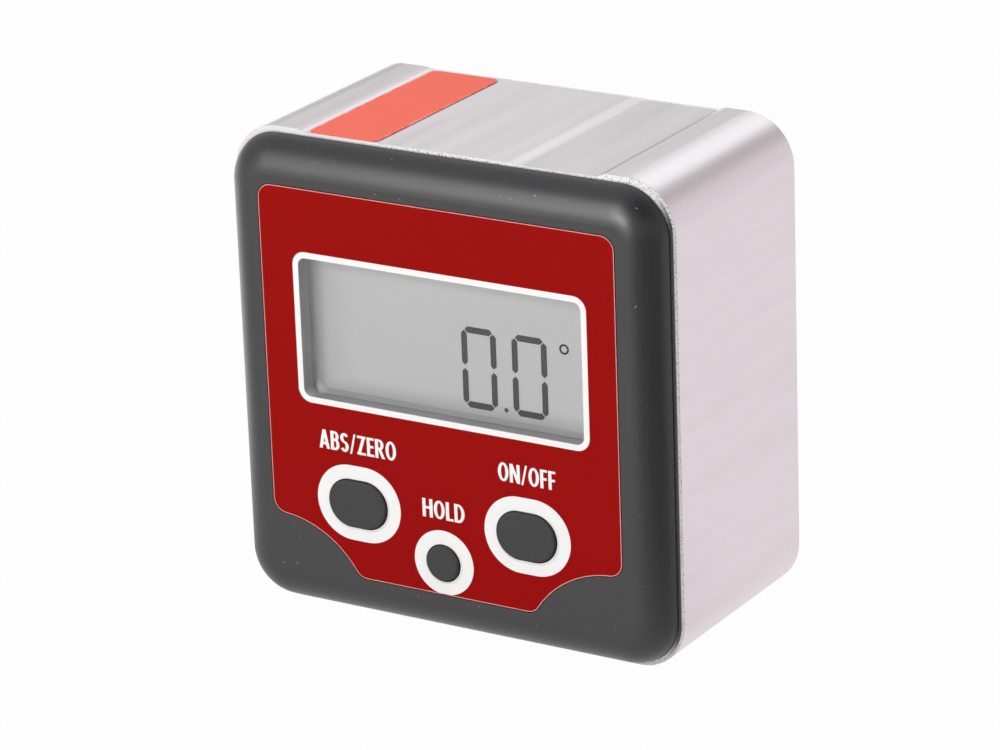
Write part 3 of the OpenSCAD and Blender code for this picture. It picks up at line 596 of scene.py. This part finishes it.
def lofted_ring(name, rails, finish):
    """Closed ring whose section has a corner for each (loop, y) in rails. All its loops have the same count
    of (x, z) points."""
    count = len(rails[0][0])
    points = [(x, y, z) for loop, y in rails for x, z in loop]
    faces = []
    for k in range(len(rails)):
        near, far = k * count, (k + 1) % len(rails) * count
        for i in range(count):
            j = (i + 1) % count
            faces.append((near + i, near + j, far + j, far + i))
    new_piece(name, points, faces, finish)


def flat_ring(name, outer, inner, y_back, y_front, finish):
    rails = [(outer, y_front), (inner, y_front), (inner, y_back), (outer, y_back)]
    lofted_ring(name, rails, finish)


def slab_points(outlines, y_back, y_front):
    """Points and faces of flat closed pieces with convex outlines of (x, z) points."""
    points, faces = [], []
    for outline in outlines:
        start, count = len(points), len(outline)
        points += [(x, y_front, z) for x, z in outline] + [(x, y_back, z) for x, z in outline]
        faces.append(tuple(range(start, start + count)))
        faces.append(tuple(range(start + 2 * count - 1, start + count - 1, -1)))
        for i in range(count):
            j = (i + 1) % count
            faces.append((start + i, start + count + i, start + count + j, start + j))
    return points, faces


def arc(x, z, r, start, end, steps):
    """Points on an arc, its angles in degrees."""
    angles = [math.radians(start + (end - start) * i / steps) for i in range(steps + 1)]
    return [(x + r * math.cos(a), z + r * math.sin(a)) for a in angles]


def circle_loop(x, z, r, corners):
    """Points round a circle, without the first one again at the end."""
    return arc(x, z, r, 0, 360, corners)[:-1]


def pill_loop(x, z, r, straight, steps=32):
    return arc(x + straight / 2, z, r, -90, 90, steps) + arc(x - straight / 2, z, r, 90, 270, steps)


def rect_loop(x, z, w, h, r, steps=12):
    corners = ((1, 1, 0), (-1, 1, 90), (-1, -1, 180), (1, -1, 270))
    return [p for sx, sz, a in corners
            for p in arc(x + sx * (w / 2 - r), z + sz * (h / 2 - r), r, a, a + 90, steps)]


def in_metres(loop):
    return [(x * MM, z * MM) for x, z in loop]


def middle(node):
    """Centre and size of a node's box."""
    low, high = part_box(node)
    return (low + high) / 2, high - low


def trim_window():
    """White border of the window, lining of its edge in a painted-shade grey, and bevel at the foot of the
    display's walls.
    """
    centre, size = middle("display_window")

    def loop(grow, r):
        """Window's outline, moved out by grow."""
        w, h = (length - 2 * PANE_LAP + 2 * grow for length in (size.x, size.z))
        return rect_loop(centre.x, centre.z, w, h, r)

    edge = loop(0, WINDOW_R)
    border = loop(WINDOW_BORDER, WINDOW_R + WINDOW_BORDER)
    flat_ring("window_border", border, edge, FRONT, FRONT - PRINT_T, "white_ink")
    flat_ring("window_lining", edge, loop(-LINER_T, WINDOW_R), PANE_BACK, FRONT, "lining")
    wall = loop(COLLAR_LIP + LINER_T, WINDOW_R)
    foot = loop(-BEVEL_W, WINDOW_R + BEVEL_W)
    glass = LCD_FRONT - PRINT_T
    rails = [(wall, LCD_FRONT - BEVEL_RISE), (foot, glass), (wall, glass)]
    lofted_ring("display_bevel", rails, "frame_plastic")


def print_key_rings_and_paint_shadows():
    """White ring round each key, with the key's painted shadow along its hole."""
    for name in ("abs_zero", "hold", "on_off"):
        centre, size = middle("key_" + name)
        r = size.z / 2 - KEY_FLANGE
        straight = size.x - size.z
        ring = centre + KEY_RING_SHIFT
        outer = pill_loop(ring.x, ring.z, r + KEY_RING_W, straight)
        hole = pill_loop(centre.x, centre.z, r + KEY_GAP, straight)
        flat_ring("ring_" + name, outer, hole, FRONT, FRONT - PRINT_T, "white_ink")
        # Painted shadow of the key, shifted down and to the right
        shaded = centre + KEY_SHADE_SHIFT
        edge = pill_loop(shaded.x, shaded.z, r + KEY_GAP + KEY_SHADE_W, straight)
        flat_ring("ring_shade_" + name, edge, hole, FRONT, FRONT - KEY_SHADE_T, "key_shadow_paint")


def front_loop(node):
    """Tallest edge loop of a node's front face, as (x, z) points in order."""
    mesh = nodes[node].data
    spots = [tuple(round(c, SAME_DECIMALS) for c in v.co) for v in mesh.vertices]
    uses = {}
    for face in mesh.polygons:
        corners = [spots[i] for i in face.vertices]
        if all(abs(c[1] - FRONT) < FRONT_SLACK for c in corners):
            for a, b in zip(corners, corners[1:] + corners[:1]):
                uses.setdefault(frozenset((a, b)), []).append((a, b))
    following = {}
    for pairs in uses.values():
        if len(pairs) == 1:
            a, b = pairs[0]
            following[a] = b
    loops = []
    while following:
        start, spot = following.popitem()
        loop = [start]
        while spot != start:
            loop.append(spot)
            spot = following.pop(spot)
        loops.append(loop)
    tallest = max(loops, key=lambda loop: max(p[2] for p in loop) - min(p[2] for p in loop))
    return [(x, z) for x, _, z in tallest]


def inset_loop(loop, distance):
    """Loop moved to its inside by distance."""
    area = sum(a[0] * b[1] - b[0] * a[1] for a, b in zip(loop, loop[1:] + loop[:1]))
    side = 1 if area > 0 else -1
    moved = []
    for before, spot, after in zip(loop[-1:] + loop[:-1], loop, loop[1:] + loop[:1]):
        along = Vector((after[0] - before[0], after[1] - before[1])).normalized()
        moved.append((spot[0] - side * along.y * distance, spot[1] + side * along.x * distance))
    return moved


def show_sheet_edge():
    """Pale cut edge of the fascia sheet, where its clear film shows."""
    outline = front_loop("fascia_overlay")
    inner = inset_loop(outline, SHEET_EDGE_W)
    flat_ring("fascia_cut_edge", outline, inner, FRONT, FRONT - PRINT_T, "sheet_edge")


def lean(x0, z0, x1, z1, width=UPRIGHT_W):
    """Stroke with level ends between two heights."""
    half = width / 2
    return [[(x0 - half, z0), (x0 + half, z0), (x1 + half, z1), (x1 - half, z1)]]


def beam(x0, x1, z):
    """Level stroke."""
    half = LEVEL_W / 2
    return [[(x0, z - half), (x1, z - half), (x1, z + half), (x0, z + half)]]


def bow(x, z, rx, rz, start, end, steps=20):
    """Curved stroke along an ellipse, in short pieces."""
    turns = arc(0, 0, 1, start, end, steps)
    outer = [(x + c * rx, z + s * rz) for c, s in turns]
    inner = [(x + c * (rx - UPRIGHT_W), z + s * (rz - LEVEL_W)) for c, s in turns]
    return [[outer[i], outer[i + 1], inner[i + 1], inner[i]] for i in range(steps)]


def bowl(low, high, width, rx):
    """Bowl of a letter: two level strokes from the stem and a half ellipse."""
    turn = width - rx
    levels = [beam(UPRIGHT_W / 2, turn, z) for z in (low + LEVEL_W / 2, high - LEVEL_W / 2)]
    return levels + [bow(turn, (low + high) / 2, rx, (high - low) / 2, -90, 90)]


def letter(sign):
    """Strokes of a letter one unit high and w wide, each a list of convex outlines."""
    w = LETTER_WIDTHS[sign]
    left, right = UPRIGHT_W / 2, w - UPRIGHT_W / 2
    foot, head = LEVEL_W / 2, 1 - LEVEL_W / 2
    stem, post = lean(left, 0, left, 1), lean(right, 0, right, 1)
    strokes = {
        "A": [lean(left, 0, w / 2, 1), lean(right, 0, w / 2, 1), beam(0.25 * w, 0.75 * w, 0.27)],
        "B": [stem] + bowl(0.48, 1, w * 0.94, w * 0.45) + bowl(0, 0.48 + LEVEL_W, w, w * 0.5),
        "D": [stem] + bowl(0, 1, w, w * 0.62),
        "E": [stem] + [beam(left, x, z) for x, z in ((w, foot), (w * 0.92, 0.52), (w, head))],
        "F": [stem] + [beam(left, x, z) for x, z in ((w * 0.92, 0.5), (w, head))],
        "H": [stem, post, beam(left, right, 0.52)],
        "L": [stem, beam(left, w, foot)],
        "N": [stem, post, lean(left, 1, right, 0)],
        "O": [bow(w / 2, 0.5, w / 2, 0.5, 0, 360, 40)],
        "R": [stem] + bowl(0.44, 1, w * 0.92, w * 0.45) + [lean(right + 0.02, 0, w * 0.48, 0.5)],
        "S": [bow(w / 2, 0.735, w / 2, 0.265, 25, 270), bow(w / 2, 0.285, w / 2, 0.285, 90, -155)],
        "Z": [beam(0, w, foot), beam(0.02, w, head), lean(left, 0, right, 1)],
        "/": [lean(SLASH_W / 2, -0.03, w - SLASH_W / 2, 1.03, SLASH_W)],
    }
    return strokes[sign]


def print_legends():
    """Prints each stroke a little thicker than the one before, so that crossing strokes share no face."""
    for name, (words, x, z, width, height) in LEGENDS.items():
        reach = sum(LETTER_WIDTHS[sign] + LETTER_SPACE for sign in words) - LETTER_SPACE
        stretch = width / reach
        start, low = x - width / 2, z - height / 2
        points, faces = [], []
        for sign in words:
            for i, stroke in enumerate(letter(sign)):
                placed = [in_metres((start + px * stretch, low + pz * height) for px, pz in outline)
                          for outline in stroke]
                more, sides = slab_points(placed, FRONT, FRONT - PRINT_T * (1 + i * STROKE_RISE))
                faces += [tuple(k + len(points) for k in side) for side in sides]
                points += more
            start += (LETTER_WIDTHS[sign] + LETTER_SPACE) * stretch
        new_piece(name, points, faces, "white_ink")


def segment(x0, z0, x1, z1):
    """Six-sided display segment between two points, mitred at both ends."""
    along = Vector((x1 - x0, z1 - z0)).normalized()
    across = Vector((-along.y, along.x)) * DIGIT_STROKE / 2
    mitre = along * DIGIT_STROKE / 2
    a = Vector((x0, z0)) + along * DIGIT_GAP / 2
    b = Vector((x1, z1)) - along * DIGIT_GAP / 2
    return in_metres((a, a + mitre - across, b - mitre - across, b, b - mitre + across, a + mitre + across))


def zero_outlines(left):
    """Six segments of a zero."""
    half = DIGIT_STROKE / 2
    x0, x1 = left + half, left + DIGIT_W - half
    z0, z1 = DIGIT_LOW + half, DIGIT_LOW + DIGIT_H - half
    waist_low, waist_high = ((z0 + z1 + side * DIGIT_WAIST) / 2 for side in (-1, 1))
    runs = [(x0, z1, x1, z1), (x0, z0, x1, z0)]
    runs += [(x, a, x, b) for x in (x0, x1) for a, b in ((z0, waist_low), (waist_high, z1))]
    return [segment(*run) for run in runs]


def show_reading():
    """Reading of the display: two zeros, a point and a degree sign."""
    ink_front = LCD_FRONT - PRINT_T
    outlines = [outline for left in DIGIT_LEFTS for outline in zero_outlines(left)]
    outlines.append(in_metres(circle_loop(*POINT_AT, POINT_R, POINT_CORNERS)))
    points, faces = slab_points(outlines, LCD_FRONT, ink_front)
    new_piece("display_digits", points, faces, "dark_segment")
    radii = (DEGREE_R, DEGREE_R - DEGREE_STROKE)
    outer, inner = (in_metres(circle_loop(*DEGREE_AT, r, DEGREE_CORNERS)) for r in radii)
    flat_ring("display_degree_sign", outer, inner, LCD_FRONT, ink_front, "black_segment")


def add_floor():
    """Pale floor. To the camera it is white with a trace of the object's shadow. In reflections it is white
    too, but dim to the right in front of the object and brightest beside its left."""
    corners = [(x * FLOOR_REACH, y * FLOOR_REACH, 0) for x, y in ((-1, -1), (1, -1), (1, 1), (-1, 1))]
    mesh = bpy.data.meshes.new("floor")
    mesh.from_pydata(corners, [], [(0, 1, 2, 3)])
    material = bpy.data.materials.new("floor")
    material.use_nodes = True
    look = Nodes(material.node_tree)
    look.tree.nodes.clear()
    matt = look.add("ShaderNodeBsdfDiffuse", Color=(FLOOR_GREY, FLOOR_GREY, FLOOR_GREY, 1)).outputs["BSDF"]
    path = look.add("ShaderNodeLightPath").outputs
    place = look.add("ShaderNodeNewGeometry").outputs["Position"]
    x, y = look.split(place, "X"), look.split(place, "Y")
    right_in_front = look.times(look.past(x, *FLOOR_DIM_X), look.before(y, *FLOOR_DIM_Y))
    beside_left = look.times(look.before(x, *FLOOR_BRIGHT_X), look.past(y, *FLOOR_BRIGHT_Y))
    mirrored = look.between(right_in_front, look.between(beside_left, 1.0, FLOOR_BRIGHT), FLOOR_DIM)
    level = look.between(path["Is Glossy Ray"], 1.0, mirrored)
    glow = look.add("ShaderNodeEmission", Strength=level).outputs["Emission"]
    seen = look.times(look.larger(path["Is Camera Ray"], path["Is Transmission Ray"]), FLOOR_SEEN)
    share = look.larger(seen, look.times(path["Is Glossy Ray"], FLOOR_MIRRORED))
    blend = look.add("ShaderNodeMixShader", Fac=share)
    look.feed(blend.inputs[1], matt)
    look.feed(blend.inputs[2], glow)
    look.add("ShaderNodeOutputMaterial", Surface=blend.outputs["Shader"])
    mesh.materials.append(material)
    floor = bpy.data.objects.new("floor", mesh)
    bpy.context.scene.collection.objects.link(floor)


def add_world():
    """Room that is white to the camera. Its wall behind brightens upwards on the left and darkens upwards on
    the right. The rest is dim, but bright in reflections, apart from the upper right in front."""
    world = bpy.data.worlds.new("studio")
    world.use_nodes = True
    bpy.context.scene.world = world
    look = Nodes(world.node_tree)
    path = look.add("ShaderNodeLightPath").outputs
    way = look.add("ShaderNodeTexCoord").outputs["Generated"]
    x, y, z = (look.split(way, name) for name in "XYZ")
    wall_left = look.range(z, *WALL_LEFT, smooth=True)
    wall_right = look.range(z, *WALL_RIGHT, smooth=True)
    wall = look.between(look.range(x, *WALL_SIDES, smooth=True), wall_left, wall_right)
    upper_right = look.times(look.past(x, *DARK_X), look.past(z, *DARK_Z))
    dark_corner = look.times(upper_right, look.before(y, *DARK_Y))
    bright = look.times(path["Is Glossy Ray"], look.between(dark_corner, 1, 0))
    dark = look.between(path["Is Glossy Ray"], ROOM_LIGHT, ROOM_DARK)
    front = look.between(bright, dark, ROOM_MIRRORED)
    room = look.range(y, *WALL_DEPTH, front, wall, smooth=True)
    background = look.tree.nodes["Background"]
    look.feed(background.inputs["Strength"], look.larger(path["Is Camera Ray"], room))
    look.feed(background.inputs["Color"], (1, 1, 1, 1))


def add_lamp(name, place, size, power, kind):
    """Soft lamp that gives diffuse or glossy light only."""
    lamp = bpy.data.lights.new(name, "AREA")
    lamp.shape = "RECTANGLE"
    lamp.size, lamp.size_y = size
    lamp.energy = power
    holder = bpy.data.objects.new(name, lamp)
    holder.location = place
    holder.visible_diffuse = kind == "diffuse"
    holder.visible_glossy = kind == "glossy"
    holder.rotation_euler = (Vector(LAMP_TARGET) - Vector(place)).to_track_quat("-Z", "Y").to_euler()
    bpy.context.scene.collection.objects.link(holder)


def keep_off(lamp, names):
    """Keeps a lamp off the named nodes."""
    group = bpy.data.collections.new(lamp + "_kept_off")
    for name in names:
        group.objects.link(nodes[name])
    for member in group.collection_objects:
        member.light_linking.link_state = "EXCLUDE"
    bpy.data.objects[lamp].light_linking.receiver_collection = group


def add_camera():
    """Camera at the photograph's view: turned about the object, then shifted in its own picture plane."""
    yaw, pitch, roll = (math.radians(a) for a in (CAM_YAW, CAM_PITCH, CAM_ROLL))
    back = Vector((math.sin(yaw) * math.cos(pitch), -math.cos(yaw) * math.cos(pitch), math.sin(pitch)))
    level = Vector((math.cos(yaw), math.sin(yaw), 0))
    rise = back.cross(level)
    right = math.cos(roll) * level + math.sin(roll) * rise
    up = -math.sin(roll) * level + math.cos(roll) * rise
    across, above, away = CAM_OFFSET
    place = (Vector(CAM_TARGET) - right * across - up * above + back * away) * MM
    camera = bpy.data.cameras.new("camera")
    camera.sensor_width = SENSOR_W
    camera.lens = CAM_FOCAL * SENSOR_W
    camera.clip_start = CAM_CLIP
    holder = bpy.data.objects.new("camera", camera)
    holder.matrix_world = Matrix.Translation(place) @ Matrix((right, up, back)).transposed().to_4x4()
    bpy.context.scene.collection.objects.link(holder)
    bpy.context.scene.camera = holder


dress_nodes()
trim_window()
print_key_rings_and_paint_shadows()
show_sheet_edge()
print_legends()
show_reading()
add_floor()
add_world()
for lamp_name, settings in LAMPS.items():
    add_lamp(lamp_name, *settings)
for lamp_name, left_out in KEPT_OFF.items():
    keep_off(lamp_name, left_out)
add_camera()
bpy.context.scene.view_settings.view_transform = "Standard"
